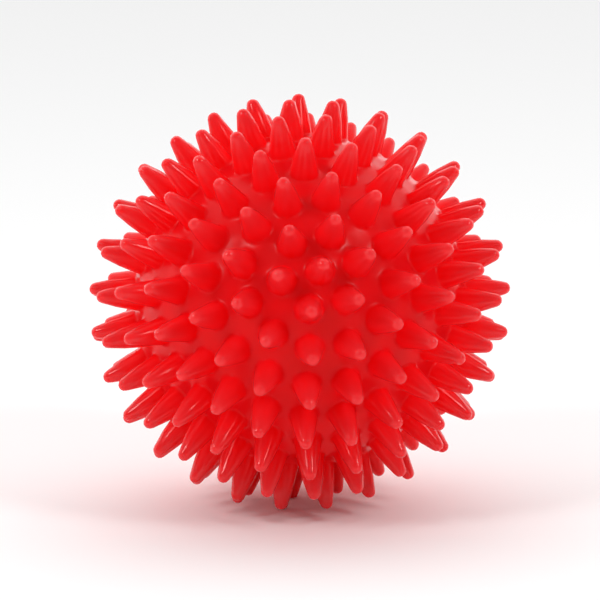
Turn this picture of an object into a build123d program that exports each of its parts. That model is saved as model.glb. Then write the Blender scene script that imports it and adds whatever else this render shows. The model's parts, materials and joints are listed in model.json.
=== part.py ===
from build123d import *
import os
from math import acos, atan2, cos, degrees, hypot, pi, radians, sin, sqrt, tan

# Spiky massage ball: a hollow ball of soft PVC covered in blunt nubs, with an air valve in its wall.
# Frame: origin at the ball's centre, +Z up, the front towards -Y. Millimetres and degrees.

# ---- the ball ----
ball_diameter = 90.0       # over the tips of opposite nubs
nub_height = 9.5           # from the skin to a nub's tip
wall = 3.0                 # the skin between the nubs
nub_tip_radius = 1.4       # a nub ends in half a ball
nub_base_radius = 2.9      # where a nub's straight side meets the skin
root_fillet = 0.8          # soft corner round the foot of a nub
root_sink = 0.05           # the corner dips this far below the skin, so that the two cross cleanly
root_land = 0.05           # bare skin left between two such corners at the least

# ---- the pattern of nubs ----
# The nubs stand in rings about the moulding axis. The back half of the mould mirrors the front half,
# turned on about the axis by a whole number of nubs of the ring at the parting line.
ring_counts = (1, 6, 12, 17, 22, 25, 28, 29)   # from the nub on the axis to the parting line
axis_rise = 20.0           # the moulding axis rises this much above the horizontal at the front
seam_meridian = 51.3       # every front ring but the first has a nub here, about the axis from +X
first_ring_turn = 20.8     # the first ring is turned on from the meridian by this much
back_half_nubs = 14        # nubs of the parting ring that the back half is turned on by

# ---- the air valve, in place of the nub at the back end of the axis ----
boss_wall = 2.45           # round the valve's pocket, in the thick part of the wall
boss_depth = 11.0          # from the skin to the boss's inner end
valve_radius = 4.0         # rubber valve body
flange_lip = 1.6           # its flange reaches this far out over the boss's inner end
flange_thickness = 1.5
slit_length = 2.0          # the slit that air goes in through, closed by the ball's own pressure
slit_width = 0.3
plug_stem_radius = 1.2
plug_stem_length = 6.5
plug_stem_chamfer = 0.4
plug_shank_radius = 2.1    # fills the hole in the skin
plug_cap_lip = 0.9         # its cap reaches this far out past the shank, for a fingernail to lift
plug_cap_thickness = 0.9
plug_cap_round = 0.4

# ---- clearances ----
bond_gap = 0.05            # glue line between the valve body and its pocket
stem_fit = 0.05            # plug stem in the valve body
shank_clearance = 0.3      # plug shank in the hole in the skin
cap_clearance = 0.25       # between the plug's cap and the skin
stem_end_space = 0.5       # between the stem's end and the slit
cut_margin = 1.0           # holes and slits are cut this far past what they go through

pocket_radius = valve_radius + bond_gap
boss_radius = pocket_radius + boss_wall
flange_radius = valve_radius + flange_lip
hole_radius = plug_shank_radius + shank_clearance
plug_cap_radius = plug_shank_radius + plug_cap_lip
ball_radius = ball_diameter / 2
skin_radius = ball_radius - nub_height
inner_radius = skin_radius - wall
mid_wall_radius = skin_radius - wall / 2
ring_step = 90.0 / (len(ring_counts) - 1)


def mould_direction(polar, azimuth):
    """Direction at a polar angle from the front end of the moulding axis, turned about it from +X."""
    along = cos(radians(polar))
    across = sin(radians(polar)) * cos(radians(azimuth))
    over = sin(radians(polar)) * sin(radians(azimuth))
    rise = radians(axis_rise)
    return Vector(across, over * sin(rise) - along * cos(rise), along * sin(rise) + over * cos(rise))


def ring_directions(ring, polar, turn):
    """Directions of the nubs of one ring, at its polar angle, turned on from the seam meridian."""
    count = ring_counts[ring]
    start = seam_meridian + turn + (first_ring_turn if ring == 1 else 0.0)
    return [mould_direction(polar, start + 360.0 * number / count) for number in range(count)]


# The ring at the parting line is shared by the halves, and the valve takes the last nub's place.
parting_ring = len(ring_counts) - 1
back_turn = 360.0 * back_half_nubs / ring_counts[parting_ring]
nub_directions = []
for ring in range(parting_ring + 1):
    nub_directions += ring_directions(ring, ring * ring_step, 0.0)
    if 0 < ring < parting_ring:
        nub_directions += ring_directions(ring, 180.0 - ring * ring_step, back_turn)

# A nub's straight side runs from its foot to where it is tangent to the rounded tip.
tip_centre = ball_radius - nub_tip_radius
side_rise = tip_centre - skin_radius
taper = acos(nub_tip_radius / hypot(nub_base_radius, side_rise)) - atan2(side_rise, nub_base_radius)
side_top = (nub_tip_radius * cos(taper), tip_centre + nub_tip_radius * sin(taper))

# The soft corner at its foot is no wider than half the way to the nearest nub.
rings_off_axis = range(1, len(ring_counts))
spacings = [2 * pi * sin(radians(ring * ring_step)) / ring_counts[ring] for ring in rings_off_axis]
half_pitch = skin_radius * min(radians(ring_step), *spacings) / 2
foot_height = sqrt(skin_radius**2 - (nub_base_radius + root_fillet) ** 2) - root_sink
side_foot = nub_base_radius + (skin_radius - foot_height) * tan(taper)
root_radius = min(root_fillet, half_pitch - root_land - side_foot)
foot_radius = side_foot + root_radius
side_end = (side_foot, foot_height)
foot_edge = (foot_radius, foot_height)
inside_wall = [(foot_radius, mid_wall_radius), (0, mid_wall_radius)]

# ---- one nub, standing on the skin along +Z ----
with BuildPart() as nub:
    with BuildSketch(Plane.XZ) as nub_profile:
        with BuildLine() as nub_outline:
            CenterArc((0, tip_centre), nub_tip_radius, degrees(taper), 90 - degrees(taper))
            FilletPolyline(side_top, side_end, foot_edge, radius=root_radius)
            Polyline(foot_edge, *inside_wall, (0, ball_radius))
        make_face()
    revolve(axis=Axis.Z)

# ---- the ball: skin, nubs and valve boss are one moulding ----
# The skin's poles lie on the moulding axis, under the front nub and in the valve's hole.
front_end = mould_direction(0.0, 0.0)
seam_direction = mould_direction(90.0, seam_meridian)
mould_plane = Plane(origin=(0, 0, 0), x_dir=seam_direction, z_dir=front_end)
valve_plane = Plane(origin=(0, 0, 0), x_dir=(1, 0, 0), z_dir=mould_direction(180.0, 0.0))
pocket_floor = valve_plane.offset(inner_radius)
boss_end = valve_plane.offset(skin_radius - boss_depth)
nub_places = [Plane(origin=(0, 0, 0), z_dir=direction).location for direction in nub_directions]

with BuildPart() as ball_shell:
    with Locations(mould_plane.location):
        Sphere(skin_radius)
        Sphere(inner_radius, mode=Mode.SUBTRACT)
    with BuildSketch(boss_end):
        Circle(boss_radius)
    extrude(amount=boss_depth - wall / 2)
    with BuildSketch(boss_end):
        Circle(pocket_radius)
    extrude(amount=boss_depth - wall, mode=Mode.SUBTRACT)
    with BuildSketch(pocket_floor):
        Circle(hole_radius)
    extrude(amount=wall + cut_margin, mode=Mode.SUBTRACT)
    with Locations(*nub_places):
        add(nub.part)
ball_shell.part.label = "ball_shell"

# ---- the rubber valve body, bonded in its pocket ----
with BuildPart() as valve_body:
    with BuildSketch(boss_end):
        Circle(valve_radius)
    extrude(amount=boss_depth - wall)
    with BuildSketch(boss_end):
        Circle(flange_radius)
    extrude(amount=-flange_thickness)
    with BuildSketch(pocket_floor):
        Circle(plug_stem_radius + stem_fit)
    extrude(amount=-(plug_stem_length + stem_end_space), mode=Mode.SUBTRACT)
    with BuildSketch(pocket_floor):
        Rectangle(slit_length, slit_width)
    extrude(amount=wall - boss_depth - flange_thickness - cut_margin, mode=Mode.SUBTRACT)
valve_body.part.label = "valve_body"

# ---- the stopper that closes the valve ----
cap_underside = skin_radius + cap_clearance
valve_axis = Axis(valve_plane.origin, valve_plane.z_dir)
with BuildPart() as valve_plug:
    with BuildSketch(pocket_floor):
        Circle(plug_stem_radius)
    extrude(amount=-plug_stem_length)
    chamfer(valve_plug.edges().filter_by(GeomType.CIRCLE).sort_by(valve_axis)[0], plug_stem_chamfer)
    with BuildSketch(pocket_floor):
        Circle(plug_shank_radius)
    extrude(amount=cap_underside - inner_radius)
    with BuildSketch(valve_plane.offset(cap_underside)):
        Circle(plug_cap_radius)
    extrude(amount=plug_cap_thickness)
    fillet(valve_plug.edges().filter_by(GeomType.CIRCLE).sort_by(valve_axis)[-1], plug_cap_round)
valve_plug.part.label = "valve_plug"

os.makedirs("parts", exist_ok=True)
export_step(ball_shell.part, "parts/ball_shell.step")
export_step(valve_body.part, "parts/valve_body.step")
export_step(valve_plug.part, "parts/valve_plug.step")
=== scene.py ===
import json
import math
import random

import bpy
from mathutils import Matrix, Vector
from mathutils.kdtree import KDTree


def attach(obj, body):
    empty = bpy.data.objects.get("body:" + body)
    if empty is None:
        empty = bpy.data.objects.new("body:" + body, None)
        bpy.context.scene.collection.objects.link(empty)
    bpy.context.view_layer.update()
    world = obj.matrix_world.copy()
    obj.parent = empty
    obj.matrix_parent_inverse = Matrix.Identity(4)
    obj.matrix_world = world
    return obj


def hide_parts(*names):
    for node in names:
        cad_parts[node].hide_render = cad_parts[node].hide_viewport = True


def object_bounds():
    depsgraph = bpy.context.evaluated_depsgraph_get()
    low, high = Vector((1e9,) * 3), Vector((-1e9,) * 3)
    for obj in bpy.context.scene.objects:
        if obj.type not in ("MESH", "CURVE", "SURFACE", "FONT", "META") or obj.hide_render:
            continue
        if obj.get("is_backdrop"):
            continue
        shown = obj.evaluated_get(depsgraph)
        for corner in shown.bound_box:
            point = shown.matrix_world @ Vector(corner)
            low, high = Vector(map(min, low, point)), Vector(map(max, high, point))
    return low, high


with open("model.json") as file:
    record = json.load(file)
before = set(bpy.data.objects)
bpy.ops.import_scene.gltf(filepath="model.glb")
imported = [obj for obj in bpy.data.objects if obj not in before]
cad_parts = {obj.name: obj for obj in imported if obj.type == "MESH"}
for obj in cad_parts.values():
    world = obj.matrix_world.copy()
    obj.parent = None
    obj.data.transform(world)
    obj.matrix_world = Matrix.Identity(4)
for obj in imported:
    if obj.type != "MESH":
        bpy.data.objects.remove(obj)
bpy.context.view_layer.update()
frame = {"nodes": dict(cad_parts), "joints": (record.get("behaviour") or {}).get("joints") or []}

# Spiky massage ball in soft glossy vinyl. Everything is in metres, with the ball's centre at the origin.
MM = 0.001
MERGE_DISTANCE = 0.002 * MM      # points nearer to each other than this are one point

# The ball, as it is moulded
BALL_RADIUS = 45.0 * MM          # over the tips
SKIN_RADIUS = 35.5 * MM
INNER_RADIUS = 32.5 * MM
NUB_TIP_RADIUS = 1.4 * MM
NUB_BASE_RADIUS = 2.9 * MM
NUB_FOOT_RADIUS = 3.74 * MM      # outer edge of the soft corner at a nub's foot
ROOT_RADIUS = 0.8 * MM
NUB_BULGE = 0.18 * MM            # a nub's side is slightly fuller than straight
BULGE_SHARE = 0.58               # and fullest this far up
ROOT_SHARES = (0.4, 0.72, 1.0)   # rings through the soft corner, as shares of its turn
TIP_SHARES = (0.0, 0.33, 0.66)   # rings round the tip, as shares of the turn to its end
NUB_SIDES = 12
RING_COUNTS = (1, 6, 12, 17, 22, 25, 28, 29)
SEAM_MERIDIAN = 51.3
FIRST_RING_TURN = 20.8
BACK_HALF_NUBS = 14
SMOOTH_ANGLE = 50.0              # edges sharper than this stay crisp

# How far one nub differs from the next
NUB_SEED = 11
LENGTH_SPREAD = 0.15 * MM
LEAN_SPREAD = 0.35 * MM
LOW_LEFT = Vector((-0.7, 0.0, -0.71))
FALLOFF = 3                      # how quickly a region's difference fades away from its middle
TOP_SHORTER = 0.9 * MM           # the nubs at the top are the shortest
LOW_LEFT_LONGER = 0.8 * MM       # and those at the lower left the longest
TIP_FLATTENED = 0.35 * MM        # the soft tips that carry the ball

# The hole and the boss for the valve
HOLE_RADIUS = 2.4 * MM
HOLE_EDGE_ROUND = 0.25 * MM
POCKET_RADIUS = 4.05 * MM
BOSS_RADIUS = 6.5 * MM
BOSS_END = 24.5 * MM             # height of the boss's inner end above the ball's centre
LINING_SIDES = 24
LINING_ROWS = 20

# The colours of the two vinyls and the rubber, from deep to pale
# The ball's pair is also painted light: the deep red goes to the valleys to even out their shade, the pale
# red to the tips as a painted sheen that also dims the light they catch.
BALL_DEEP_WITH_PAINTED_FILL = (0.97, 0.003, 0.006, 1)
BALL_PALE_WITH_PAINTED_SHEEN = (0.69, 0.017, 0.022, 1)
RUBBER_DEEP = (0.022, 0.022, 0.024, 1)
RUBBER_PALE = (0.05, 0.05, 0.053, 1)
STOPPER_DEEP = (0.60, 0.003, 0.006, 1)
STOPPER_PALE = (0.72, 0.006, 0.009, 1)

# The valve's axis is the axis that the stopper pulls out along, and the moulding axis runs the other way.
valve_axis = Vector(frame["joints"][0]["axis"]).normalized()
mould_axis = -valve_axis
across_axis = Vector((1, 0, 0))
over_axis = mould_axis.cross(across_axis)


# ---------------------------------------------------------------- modelling helpers


def deselect_all():
    bpy.ops.object.select_all(action="DESELECT")


def make_active(piece):
    deselect_all()
    piece.select_set(True)
    bpy.context.view_layer.objects.active = piece


def mesh_piece(name, points, edges=(), faces=()):
    mesh = bpy.data.meshes.new(name)
    mesh.from_pydata(points, edges, faces)
    piece = bpy.data.objects.new(name, mesh)
    bpy.context.scene.collection.objects.link(piece)
    return piece


def join_pieces(name, pieces):
    deselect_all()
    for piece in pieces:
        piece.select_set(True)
    bpy.context.view_layer.objects.active = pieces[0]
    bpy.ops.object.join()
    joined = bpy.context.object
    joined.name = name
    joined.data.name = name
    return joined


# ---------------------------------------------------------------- the nubs


def side_taper():
    """Angle of a nub's side to its axis, from its foot to the rounded tip that it is tangent to."""
    rise = BALL_RADIUS - NUB_TIP_RADIUS - SKIN_RADIUS
    return math.acos(NUB_TIP_RADIUS / math.hypot(NUB_BASE_RADIUS, rise)) - math.atan2(rise, NUB_BASE_RADIUS)


def nub_outline():
    """A nub's rings from foot to tip, as (radius, height above the ball's centre)."""
    taper = side_taper()
    tip_centre = BALL_RADIUS - NUB_TIP_RADIUS
    foot_height = math.sqrt(SKIN_RADIUS**2 - NUB_FOOT_RADIUS**2)
    outline = [(NUB_FOOT_RADIUS, foot_height)]
    # the soft corner turns from the skin up into the side
    turn = math.pi / 2 - taper
    centre = (NUB_FOOT_RADIUS, foot_height + ROOT_RADIUS)
    for share in ROOT_SHARES:
        angle = turn * share
        outline.append((centre[0] - ROOT_RADIUS * math.sin(angle), centre[1] - ROOT_RADIUS * math.cos(angle)))
    # the side, fullest past its middle
    low = outline[-1]
    high = (NUB_TIP_RADIUS * math.cos(taper), tip_centre + NUB_TIP_RADIUS * math.sin(taper))
    full_radius = low[0] + (high[0] - low[0]) * BULGE_SHARE + NUB_BULGE
    outline.append((full_radius, low[1] + (high[1] - low[1]) * BULGE_SHARE))
    # the rounded tip
    for share in TIP_SHARES:
        angle = taper + (math.pi / 2 - taper) * share
        outline.append((NUB_TIP_RADIUS * math.cos(angle), tip_centre + NUB_TIP_RADIUS * math.sin(angle)))
    return outline


def model_nub():
    """One nub along +Z: a ring at its foot, drawn up ring by ring and closed at the tip."""
    outline = nub_outline()
    foot_radius, foot_height = outline[0]
    deselect_all()
    bpy.ops.mesh.primitive_circle_add(vertices=NUB_SIDES, radius=foot_radius, location=(0, 0, foot_height))
    nub = bpy.context.object
    bpy.ops.object.transform_apply(location=True, rotation=True, scale=True)
    bpy.ops.object.mode_set(mode="EDIT")
    bpy.ops.mesh.select_all(action="SELECT")
    for (radius, height), (next_radius, next_height) in zip(outline, outline[1:]):
        bpy.ops.mesh.extrude_edges_move(TRANSFORM_OT_translate={"value": (0, 0, next_height - height)})
        shrink = next_radius / radius
        bpy.ops.transform.resize(value=(shrink, shrink, 1), center_override=(0, 0, next_height))
    bpy.ops.mesh.extrude_edges_move(TRANSFORM_OT_translate={"value": (0, 0, BALL_RADIUS - outline[-1][1])})
    bpy.ops.mesh.merge(type="CENTER")
    bpy.ops.object.mode_set(mode="OBJECT")
    return nub


def mould_direction(polar, azimuth):
    """Direction at a polar angle in degrees from the moulding axis, turned about it from +X."""
    polar, azimuth = math.radians(polar), math.radians(azimuth)
    around = math.cos(azimuth) * across_axis + math.sin(azimuth) * over_axis
    return math.cos(polar) * mould_axis + math.sin(polar) * around


def nub_directions():
    """Rings about the moulding axis; the back half mirrors the front, turned on by whole nubs."""
    last = len(RING_COUNTS) - 1
    step = 90.0 / last
    back_turn = 360.0 * BACK_HALF_NUBS / RING_COUNTS[last]
    rings = [(ring, ring * step, 0.0) for ring in range(last + 1)]
    rings += [(ring, 180.0 - ring * step, back_turn) for ring in range(1, last)]
    directions = []
    for ring, polar, turn in rings:
        start = SEAM_MERIDIAN + turn + (FIRST_RING_TURN if ring == 1 else 0.0)
        count = RING_COUNTS[ring]
        directions += [mould_direction(polar, start + 360.0 * number / count) for number in range(count)]
    return directions


def extra_length(direction, draw):
    """How much longer than its drawn size the nub in this direction is moulded."""
    top = max(0.0, direction.z) ** FALLOFF
    corner = max(0.0, direction.dot(LOW_LEFT)) ** FALLOFF
    return corner * LOW_LEFT_LONGER - top * TOP_SHORTER + draw.uniform(-LENGTH_SPREAD, LENGTH_SPREAD)


def place_nub(nub, direction, draw):
    """A copy of the nub with its own mesh, length and lean, its foot kept on the skin."""
    copy = nub.copy()
    copy.data = nub.data.copy()
    bpy.context.scene.collection.objects.link(copy)
    longer = extra_length(direction, draw)
    bearing = draw.uniform(0, 2 * math.pi)
    lean = LEAN_SPREAD * math.sqrt(draw.random())
    foot_height = nub_outline()[0][1]
    for vertex in copy.data.vertices:
        share = (vertex.co.z - foot_height) / (BALL_RADIUS - foot_height)
        vertex.co.z += longer * share
        vertex.co.x += lean * share**2 * math.cos(bearing)
        vertex.co.y += lean * share**2 * math.sin(bearing)
    copy.data.transform(direction.to_track_quat("Z", "Y").to_matrix().to_4x4())
    return copy


# ---------------------------------------------------------------- the skin, the lining and the boss


def lining_outline():
    """From the edge of the hole in the skin, through the boss and round the inside, to the front pole."""
    edge_radius = HOLE_RADIUS + HOLE_EDGE_ROUND
    edge_height = math.sqrt(SKIN_RADIUS**2 - edge_radius**2)
    edge_middle = 0.3 * HOLE_EDGE_ROUND
    outline = [
        (edge_radius, edge_height),
        (HOLE_RADIUS + edge_middle, edge_height - edge_middle),
        (HOLE_RADIUS, edge_height - HOLE_EDGE_ROUND),
        (HOLE_RADIUS, INNER_RADIUS),
        (POCKET_RADIUS, INNER_RADIUS),
        (POCKET_RADIUS, BOSS_END),
        (BOSS_RADIUS, BOSS_END),
    ]
    start = math.asin(BOSS_RADIUS / INNER_RADIUS)
    for row in range(LINING_ROWS):
        angle = start + (math.pi - start) * row / LINING_ROWS
        outline.append((INNER_RADIUS * math.sin(angle), INNER_RADIUS * math.cos(angle)))
    outline.append((0.0, -INNER_RADIUS))
    return outline


def model_lining():
    """The lining's outline, spun round the valve's axis."""
    outline = lining_outline()
    edges = [(number, number + 1) for number in range(len(outline) - 1)]
    lining = mesh_piece("lining", [(radius, 0.0, height) for radius, height in outline], edges)
    make_active(lining)
    bpy.ops.object.mode_set(mode="EDIT")
    bpy.ops.mesh.select_all(action="SELECT")
    bpy.ops.mesh.spin(steps=LINING_SIDES, angle=2 * math.pi, center=(0, 0, 0), axis=(0, 0, 1))
    bpy.ops.mesh.select_all(action="SELECT")
    bpy.ops.mesh.remove_doubles(threshold=MERGE_DISTANCE)
    bpy.ops.object.mode_set(mode="OBJECT")
    lining.data.transform(valve_axis.to_track_quat("Z", "Y").to_matrix().to_4x4())
    return lining


def ring_on_skin(piece):
    """The points of a piece's open edge, which lie on the skin."""
    points = [vertex.co.copy() for vertex in piece.data.vertices]
    return [point for point in points if abs(point.length - SKIN_RADIUS) < MERGE_DISTANCE]


def model_skin(rings):
    """The skin between the rings of points: their hull, with the faces inside each ring taken away."""
    skin = mesh_piece("skin", [point for ring in rings for point in ring])
    centres = KDTree(len(rings))
    for number, ring in enumerate(rings):
        centres.insert(sum(ring, Vector()) / len(ring), number)
    centres.balance()
    make_active(skin)
    bpy.ops.object.mode_set(mode="EDIT")
    bpy.ops.mesh.select_all(action="SELECT")
    bpy.ops.mesh.convex_hull(
        delete_unused=False, use_existing_faces=False, make_holes=False, join_triangles=False
    )
    bpy.ops.mesh.select_mode(type="FACE")
    bpy.ops.mesh.select_all(action="DESELECT")
    bpy.ops.object.mode_set(mode="OBJECT")
    nearest = [centres.find(vertex.co)[1] for vertex in skin.data.vertices]
    for face in skin.data.polygons:
        face.select = len({nearest[index] for index in face.vertices}) == 1
    bpy.ops.object.mode_set(mode="EDIT")
    bpy.ops.mesh.delete(type="FACE")
    bpy.ops.mesh.select_mode(type="VERT")
    bpy.ops.object.mode_set(mode="OBJECT")
    return skin


def model_ball():
    """The whole moulding: nubs, skin, hole, boss and lining, closed into one surface."""
    draw = random.Random(NUB_SEED)
    nub = model_nub()
    nubs = [place_nub(nub, direction, draw) for direction in nub_directions()]
    bpy.data.objects.remove(nub)
    lining = model_lining()
    skin = model_skin([ring_on_skin(piece) for piece in nubs + [lining]])
    ball = join_pieces("ball", [skin, lining] + nubs)
    bpy.ops.object.mode_set(mode="EDIT")
    bpy.ops.mesh.select_all(action="SELECT")
    bpy.ops.mesh.remove_doubles(threshold=MERGE_DISTANCE)
    bpy.ops.mesh.normals_make_consistent(inside=False)
    bpy.ops.object.mode_set(mode="OBJECT")
    bpy.ops.object.shade_smooth_by_angle(angle=math.radians(SMOOTH_ANGLE))
    resting_height = min(vertex.co.z for vertex in ball.data.vertices) + TIP_FLATTENED
    for vertex in ball.data.vertices:
        vertex.co.z = max(vertex.co.z, resting_height)
    return ball


# ---------------------------------------------------------------- materials


class Nodes:
    """A material's nodes, added one by one and joined by name."""

    def __init__(self, name):
        self.material = bpy.data.materials.new(name)
        self.material.use_nodes = True
        self.tree = self.material.node_tree
        self.shader = self.tree.nodes["Principled BSDF"]

    def add(self, kind, **values):
        node = self.tree.nodes.new(kind)
        for key, value in values.items():
            if hasattr(node, key):
                setattr(node, key, value)
            else:
                node.inputs[key.replace("_", " ")].default_value = value
        return node

    def link(self, source, target):
        self.tree.links.new(source, target)


def soft_vinyl():
    """Glossy, slightly translucent red vinyl, with painted light by height: a stronger red in the valleys
    evens out their shade, and a paler, dimmer red at the tips evens out the light they catch and paints a
    pale sheen on them.
    """
    made = Nodes("red_soft_vinyl")
    shader = made.shader
    coordinates = made.add("ShaderNodeTexCoord")
    place = coordinates.outputs["Object"]

    # distance from the ball's centre: 0 at the skin, 1 at the tips
    length = made.add("ShaderNodeVectorMath", operation="LENGTH")
    made.link(place, length.inputs[0])
    height = made.add("ShaderNodeMapRange", From_Min=SKIN_RADIUS, From_Max=BALL_RADIUS)
    made.link(length.outputs["Value"], height.inputs["Value"])

    # cloudy pigment, a few millimetres across
    cloud = made.add("ShaderNodeTexNoise", Scale=140.0, Detail=3.0, Roughness=0.5)
    made.link(place, cloud.inputs["Vector"])
    # the height is added to the cloud, so the colour is mostly painted light: stronger red in the valleys
    # against their shade, paler and dimmer red at the tips against the light they catch, with a painted pale
    # sheen there
    cloud_and_painted_light = made.add("ShaderNodeMath", operation="MULTIPLY_ADD")
    made.link(cloud.outputs["Fac"], cloud_and_painted_light.inputs[0])
    cloud_and_painted_light.inputs[1].default_value = 0.35
    made.link(height.outputs["Result"], cloud_and_painted_light.inputs[2])

    tint = made.add("ShaderNodeValToRGB")
    ramp = tint.color_ramp
    ramp.elements[0].position = 0.1
    ramp.elements[0].color = BALL_DEEP_WITH_PAINTED_FILL
    ramp.elements[1].position = 1.0
    ramp.elements[1].color = BALL_PALE_WITH_PAINTED_SHEEN
    made.link(cloud_and_painted_light.outputs["Value"], tint.inputs["Fac"])
    made.link(tint.outputs["Color"], shader.inputs["Base Color"])

    # rougher at the skin than at the tips, with a faint haze from handling
    haze = made.add("ShaderNodeTexNoise", Scale=60.0, Detail=5.0, Roughness=0.6)
    made.link(place, haze.inputs["Vector"])
    worn = made.add("ShaderNodeMapRange", From_Min=0.3, From_Max=0.7, To_Min=0.0, To_Max=0.06)
    made.link(haze.outputs["Fac"], worn.inputs["Value"])
    dull = made.add("ShaderNodeMapRange", To_Min=0.2, To_Max=0.06)
    made.link(height.outputs["Result"], dull.inputs["Value"])
    rough = made.add("ShaderNodeMath", operation="ADD")
    made.link(worn.outputs["Result"], rough.inputs[0])
    made.link(dull.outputs["Result"], rough.inputs[1])
    made.link(rough.outputs["Value"], shader.inputs["Roughness"])

    # and less shiny in the valleys
    towards_tip = made.add("ShaderNodeMath", operation="POWER")
    made.link(height.outputs["Result"], towards_tip.inputs[0])
    towards_tip.inputs[1].default_value = 2.0
    shine = made.add("ShaderNodeMapRange", To_Min=0.12, To_Max=0.42)
    made.link(towards_tip.outputs["Value"], shine.inputs["Value"])
    made.link(shine.outputs["Result"], shader.inputs["Specular IOR Level"])

    # slightly uneven moulded surface, with the fine raised line where the mould's halves meet
    ripple = made.add("ShaderNodeTexNoise", Scale=420.0, Detail=2.0, Roughness=0.45)
    made.link(place, ripple.inputs["Vector"])
    across = made.add("ShaderNodeVectorMath", operation="DOT_PRODUCT")
    made.link(place, across.inputs[0])
    across.inputs[1].default_value = mould_axis
    off_line = made.add("ShaderNodeMath", operation="ABSOLUTE")
    made.link(across.outputs["Value"], off_line.inputs[0])
    line = made.add("ShaderNodeMapRange", From_Min=0.00005, From_Max=0.0002, To_Min=1.0, To_Max=0.0)
    made.link(off_line.outputs["Value"], line.inputs["Value"])
    surface = made.add("ShaderNodeMath", operation="MULTIPLY_ADD")
    made.link(ripple.outputs["Fac"], surface.inputs[0])
    surface.inputs[1].default_value = 0.1
    made.link(line.outputs["Result"], surface.inputs[2])
    bump = made.add("ShaderNodeBump", Strength=0.3, Distance=0.0002)
    made.link(surface.outputs["Value"], bump.inputs["Height"])
    made.link(bump.outputs["Normal"], shader.inputs["Normal"])

    # red light goes furthest through the vinyl
    shader.inputs["Subsurface Weight"].default_value = 1.0
    shader.inputs["Subsurface Radius"].default_value = (1.0, 0.08, 0.07)
    shader.inputs["Subsurface Scale"].default_value = 0.006
    shader.inputs["IOR"].default_value = 1.45
    return made.material


def valve_rubber():
    """Dull dark rubber with a fine grain."""
    made = Nodes("valve_rubber")
    shader = made.shader
    place = made.add("ShaderNodeTexCoord").outputs["Object"]
    grain = made.add("ShaderNodeTexNoise", Scale=900.0, Detail=4.0)
    made.link(place, grain.inputs["Vector"])
    tint = made.add("ShaderNodeValToRGB")
    tint.color_ramp.elements[0].color = RUBBER_DEEP
    tint.color_ramp.elements[1].color = RUBBER_PALE
    made.link(grain.outputs["Fac"], tint.inputs["Fac"])
    made.link(tint.outputs["Color"], shader.inputs["Base Color"])
    rough = made.add("ShaderNodeMapRange", To_Min=0.6, To_Max=0.8)
    made.link(grain.outputs["Fac"], rough.inputs["Value"])
    made.link(rough.outputs["Result"], shader.inputs["Roughness"])
    bump = made.add("ShaderNodeBump", Strength=0.3, Distance=0.00008)
    made.link(grain.outputs["Fac"], bump.inputs["Height"])
    made.link(bump.outputs["Normal"], shader.inputs["Normal"])
    return made.material


def stopper_vinyl():
    """The stopper's own red vinyl, firmer and less glossy than the ball's."""
    made = Nodes("stopper_vinyl")
    shader = made.shader
    place = made.add("ShaderNodeTexCoord").outputs["Object"]
    cloud = made.add("ShaderNodeTexNoise", Scale=500.0, Detail=3.0)
    made.link(place, cloud.inputs["Vector"])
    tint = made.add("ShaderNodeValToRGB")
    tint.color_ramp.elements[0].color = STOPPER_DEEP
    tint.color_ramp.elements[1].color = STOPPER_PALE
    made.link(cloud.outputs["Fac"], tint.inputs["Fac"])
    made.link(tint.outputs["Color"], shader.inputs["Base Color"])
    rough = made.add("ShaderNodeMapRange", To_Min=0.32, To_Max=0.45)
    made.link(cloud.outputs["Fac"], rough.inputs["Value"])
    made.link(rough.outputs["Result"], shader.inputs["Roughness"])
    bump = made.add("ShaderNodeBump", Strength=0.2, Distance=0.00008)
    made.link(cloud.outputs["Fac"], bump.inputs["Height"])
    made.link(bump.outputs["Normal"], shader.inputs["Normal"])
    shader.inputs["Specular IOR Level"].default_value = 0.25
    return made.material


def give(piece, material):
    piece.data.materials.clear()
    piece.data.materials.append(material)


# ---------------------------------------------------------------- the studio

VIEW_AZIMUTH = -6.9
VIEW_ELEVATION = 10.6
VIEW_DISTANCE = 0.6976
VIEW_LENS = 195.2

# A softbox's way from the ball: to its side, up, and towards the viewer
SOFTBOX_SIDE = 0.60
SOFTBOX_RISE = 0.48
SOFTBOX_NEAR = 0.64
SOFTBOX_DISTANCE = 1.1
SOFTBOX_SIZE = 0.26
SOFTBOX_POWER = 3.1
ROOM_IN_FRONT = 0.3              # how bright the room is in front of the ball
ROOM_BEHIND = 1.45               # and behind it


def view_axes():
    """The view's right, up and backward directions."""
    azimuth, elevation = math.radians(VIEW_AZIMUTH), math.radians(VIEW_ELEVATION)
    level = Vector((math.sin(azimuth), -math.cos(azimuth), 0))
    back = level * math.cos(elevation) + Vector((0, 0, math.sin(elevation)))
    right = Vector((math.cos(azimuth), math.sin(azimuth), 0))
    return right, back.cross(right), back


def add_camera():
    back = view_axes()[2]
    camera = bpy.data.objects.new("camera", bpy.data.cameras.new("camera"))
    bpy.context.scene.collection.objects.link(camera)
    camera.data.lens = VIEW_LENS
    camera.data.sensor_width = 36.0
    camera.data.clip_start = 0.05
    camera.location = back * VIEW_DISTANCE
    camera.rotation_mode = "QUATERNION"
    camera.rotation_quaternion = (-back).to_track_quat("-Z", "Y")
    bpy.context.scene.camera = camera


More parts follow.
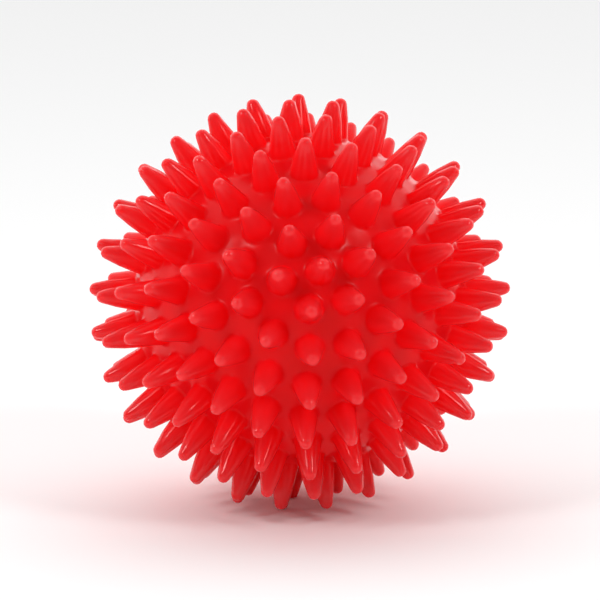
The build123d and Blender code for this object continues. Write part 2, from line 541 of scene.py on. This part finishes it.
def add_softbox(name, place):
    light = bpy.data.lights.new(name, "AREA")
    light.shape = "SQUARE"
    light.size = SOFTBOX_SIZE
    light.energy = SOFTBOX_POWER
    box = bpy.data.objects.new(name, light)
    bpy.context.scene.collection.objects.link(box)
    box.location = place
    box.rotation_mode = "QUATERNION"
    box.rotation_quaternion = (-place).to_track_quat("-Z", "Y")


def add_floor(height):
    deselect_all()
    bpy.ops.mesh.primitive_plane_add(size=12.0, location=(0, 0, height))
    floor = bpy.context.object
    floor.name = "floor"
    made = Nodes("pale_floor")
    made.shader.inputs["Base Color"].default_value = (0.96, 0.96, 0.96, 1)
    made.shader.inputs["Roughness"].default_value = 0.9
    made.shader.inputs["Specular IOR Level"].default_value = 0.0
    give(floor, made.material)
    floor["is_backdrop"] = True


def set_studio():
    """A pale floor, a white backdrop behind, a dimmer room in front, and a softbox above on each side."""
    right, up, back = view_axes()
    for name, side in (("softbox_left", -SOFTBOX_SIDE), ("softbox_right", SOFTBOX_SIDE)):
        way = side * right + SOFTBOX_RISE * up + SOFTBOX_NEAR * back
        add_softbox(name, way * SOFTBOX_DISTANCE)
    add_floor(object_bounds()[0].z)
    world = bpy.data.worlds.new("studio_room")
    bpy.context.scene.world = world
    world.use_nodes = True
    nodes, links = world.node_tree.nodes, world.node_tree.links
    direction = nodes.new("ShaderNodeTexCoord")
    parts = nodes.new("ShaderNodeSeparateXYZ")
    fade = nodes.new("ShaderNodeMapRange")
    fade.interpolation_type = "SMOOTHSTEP"
    fade.inputs["From Min"].default_value = -0.5
    fade.inputs["From Max"].default_value = 0.5
    fade.inputs["To Min"].default_value = ROOM_IN_FRONT
    fade.inputs["To Max"].default_value = ROOM_BEHIND
    links.new(direction.outputs["Generated"], parts.inputs["Vector"])
    links.new(parts.outputs["Y"], fade.inputs["Value"])
    links.new(fade.outputs["Result"], nodes["Background"].inputs["Strength"])
    nodes["Background"].inputs["Color"].default_value = (1, 1, 1, 1)
    bpy.context.scene.view_settings.view_transform = "Standard"


# ---------------------------------------------------------------- the object

ball = model_ball()
give(ball, soft_vinyl())
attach(ball, "ball")
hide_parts("ball_shell")
give(frame["nodes"]["valve_body"], valve_rubber())
give(frame["nodes"]["valve_plug"], stopper_vinyl())

add_camera()
set_studio()
